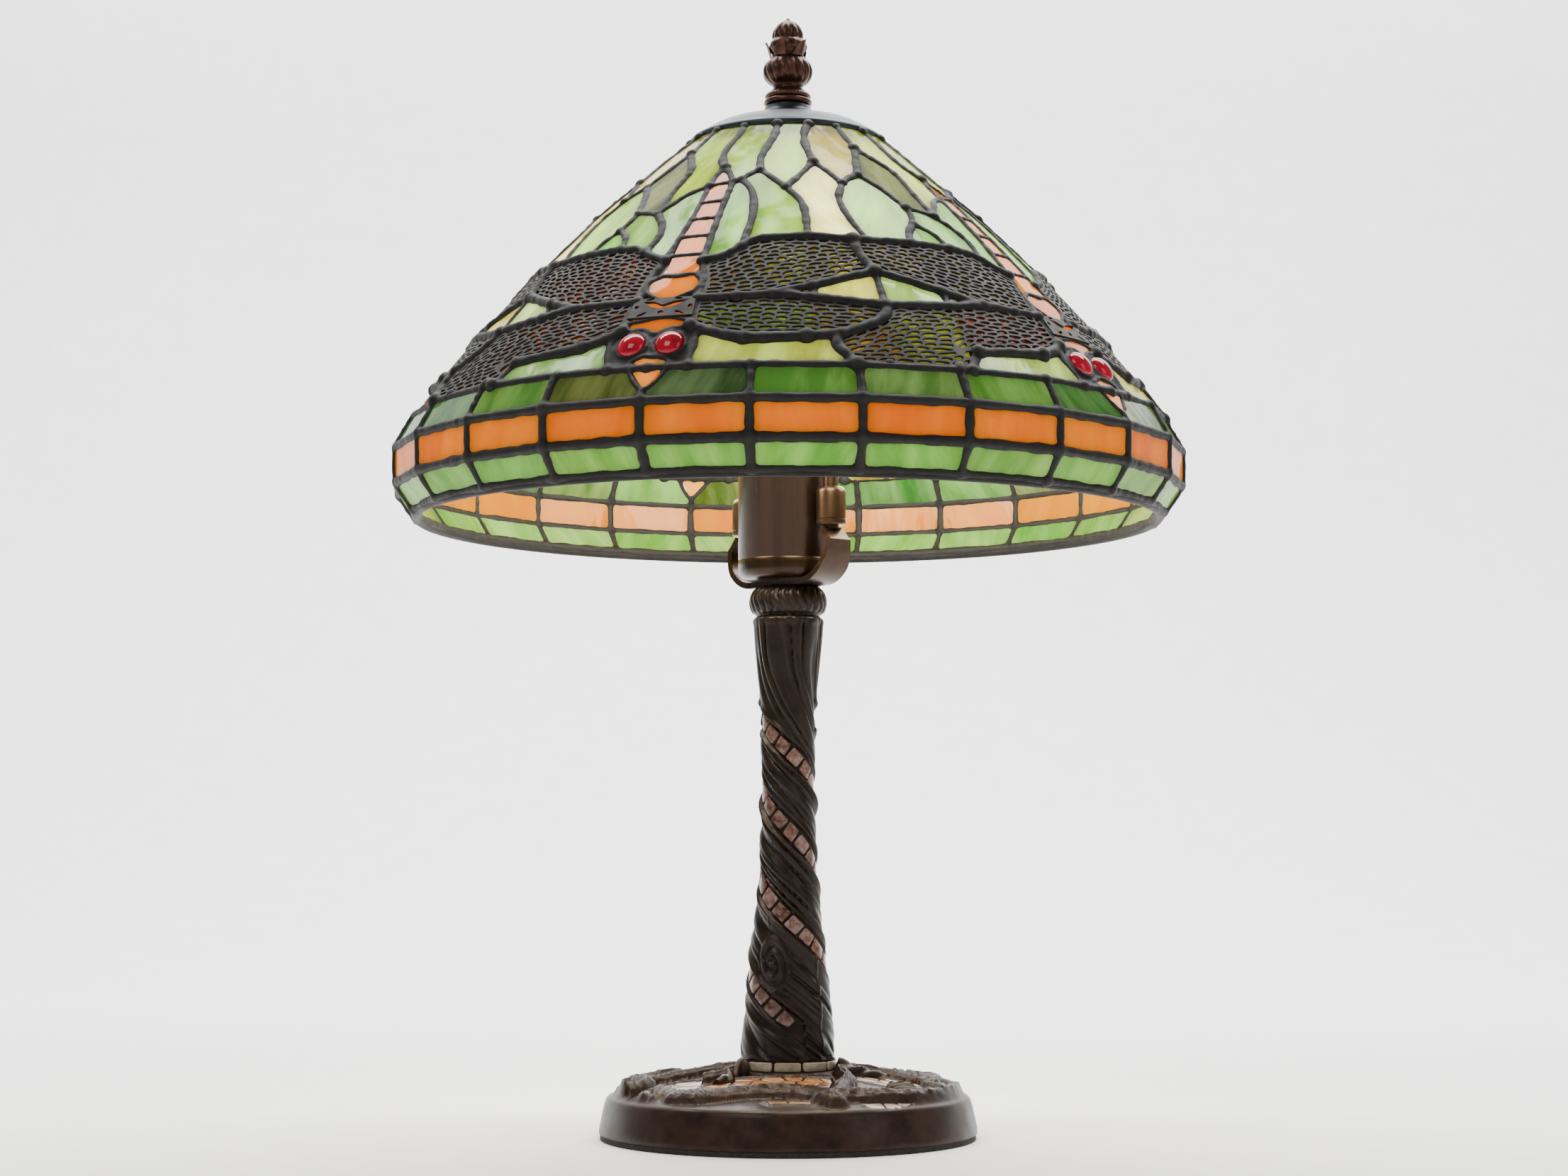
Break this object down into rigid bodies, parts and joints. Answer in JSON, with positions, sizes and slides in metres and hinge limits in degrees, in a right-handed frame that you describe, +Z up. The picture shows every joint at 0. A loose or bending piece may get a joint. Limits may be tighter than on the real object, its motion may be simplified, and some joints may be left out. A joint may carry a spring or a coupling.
{
  "type": "stained glass table lamp",
  "caption": "Table lamp with a domed leaded-glass dragonfly shade, a twisted trunk stem and a round foot inlaid with glass mosaic.",
  "frame": {"origin": "centre of the underside of the felt pad, on the lamp's vertical axis", "axes": "+Z up along the stem; -Y is the side seen from the front, with one dragonfly 19.5 degrees to its left; +X to the right"},
  "size_m": [0.3084, 0.3084, 0.44],
  "materials": {
    "felt": "worn",
    "bronze": "worn",
    "black_plastic": "worn",
    "plated_steel": "worn",
    "brown_patina": "worn",
    "brass_plain": "worn",
    "phenolic": "worn",
    "fibre": "worn",
    "solder": "worn",
    "cap_patina": "worn",
    "tile_amber": "worn",
    "tile_blush": "worn",
    "tile_cream": "worn",
    "tile_terracotta": "worn",
    "glass_sky": "worn",
    "glass_leaf": "worn",
    "glass_wing": "worn",
    "glass_green": "worn",
    "glass_amber": "worn",
    "glass_hem": "worn",
    "glass_body": "worn",
    "glass_ruby": "worn",
    "frosted": "worn"
  },
  "bodies": {
    "lamp_base": {"base_felt": "felt", "base_casting": "bronze", "base_tiles_amber": "tile_amber", "base_tiles_blush": "tile_blush", "collar_tiles": "tile_cream", "cord_grommet": "black_plastic", "base_nut": "plated_steel", "base_washer": "plated_steel", "threaded_tube": "plated_steel", "stem_casting": "bronze", "stem_tiles": "tile_terracotta", "harp_saddle": "brown_patina", "socket_cup": "brown_patina", "cup_nut": "plated_steel", "socket_liner": "fibre", "socket_body": "phenolic", "socket_screw_shell": "brass_plain", "socket_contact": "brass_plain", "terminal_screws": "brass_plain", "harp_wire": "brown_patina", "harp_stud": "brown_patina"},
    "sleeve_front": {"harp_sleeve_front": "brown_patina"},
    "sleeve_back": {"harp_sleeve_back": "brown_patina"},
    "bulb_lift": {"bulb_base": "plated_steel"},
    "bulb": {"bulb_glass": "frosted"},
    "shade": {"glass_upper": "glass_sky", "glass_background": "glass_leaf", "glass_wings": "glass_wing", "glass_bricks_green": "glass_green", "glass_bricks_amber": "glass_amber", "glass_bricks_hem": "glass_hem", "dragonfly_bodies": "glass_body", "dragonfly_noses": "glass_body", "dragonfly_eyes": "glass_ruby", "wing_filigree": "solder", "shade_leading": "solder", "shade_rim": "solder", "shade_top_ring": "brass_plain", "shade_cap": "cap_patina"},
    "finial_lift": {"finial_insert": "brass_plain"},
    "finial": {"finial_casting": "brown_patina"}
  },
  "joints": [
    {"name": "shade_turn", "type": "hinge", "parent": "lamp_base", "child": "shade", "pos_m": [0, 0, 0.4], "axis": [0, 0, 1], "continuous": true},
    {"name": "sleeve_front_lift", "type": "slide", "parent": "lamp_base", "child": "sleeve_front", "axis": [0, 0, 1], "range_m": [0, 0.012]},
    {"name": "sleeve_back_lift", "type": "slide", "parent": "lamp_base", "child": "sleeve_back", "axis": [0, 0, 1], "range_m": [0, 0.012]},
    {"name": "bulb_rise", "type": "slide", "parent": "lamp_base", "child": "bulb_lift", "axis": [0, 0, 1], "range_m": [0, 0.01089]},
    {"name": "bulb_unscrew", "type": "hinge", "parent": "bulb_lift", "child": "bulb", "pos_m": [0, 0, 0.3], "axis": [0, 0, 1], "range_deg": [0, 1080]},
    {"name": "finial_rise", "type": "slide", "parent": "lamp_base", "child": "finial_lift", "axis": [0, 0, 1], "range_m": [0, 0.00941]},
    {"name": "finial_unscrew", "type": "hinge", "parent": "finial_lift", "child": "finial", "pos_m": [0, 0, 0.42], "axis": [0, 0, 1], "range_deg": [0, 3600]}
  ],
  "couplings": [
    {"joint": "bulb_unscrew", "follows": "bulb_rise", "rad_per_m": 1731.4},
    {"joint": "finial_unscrew", "follows": "finial_rise", "rad_per_m": 6679.3}
  ]
}
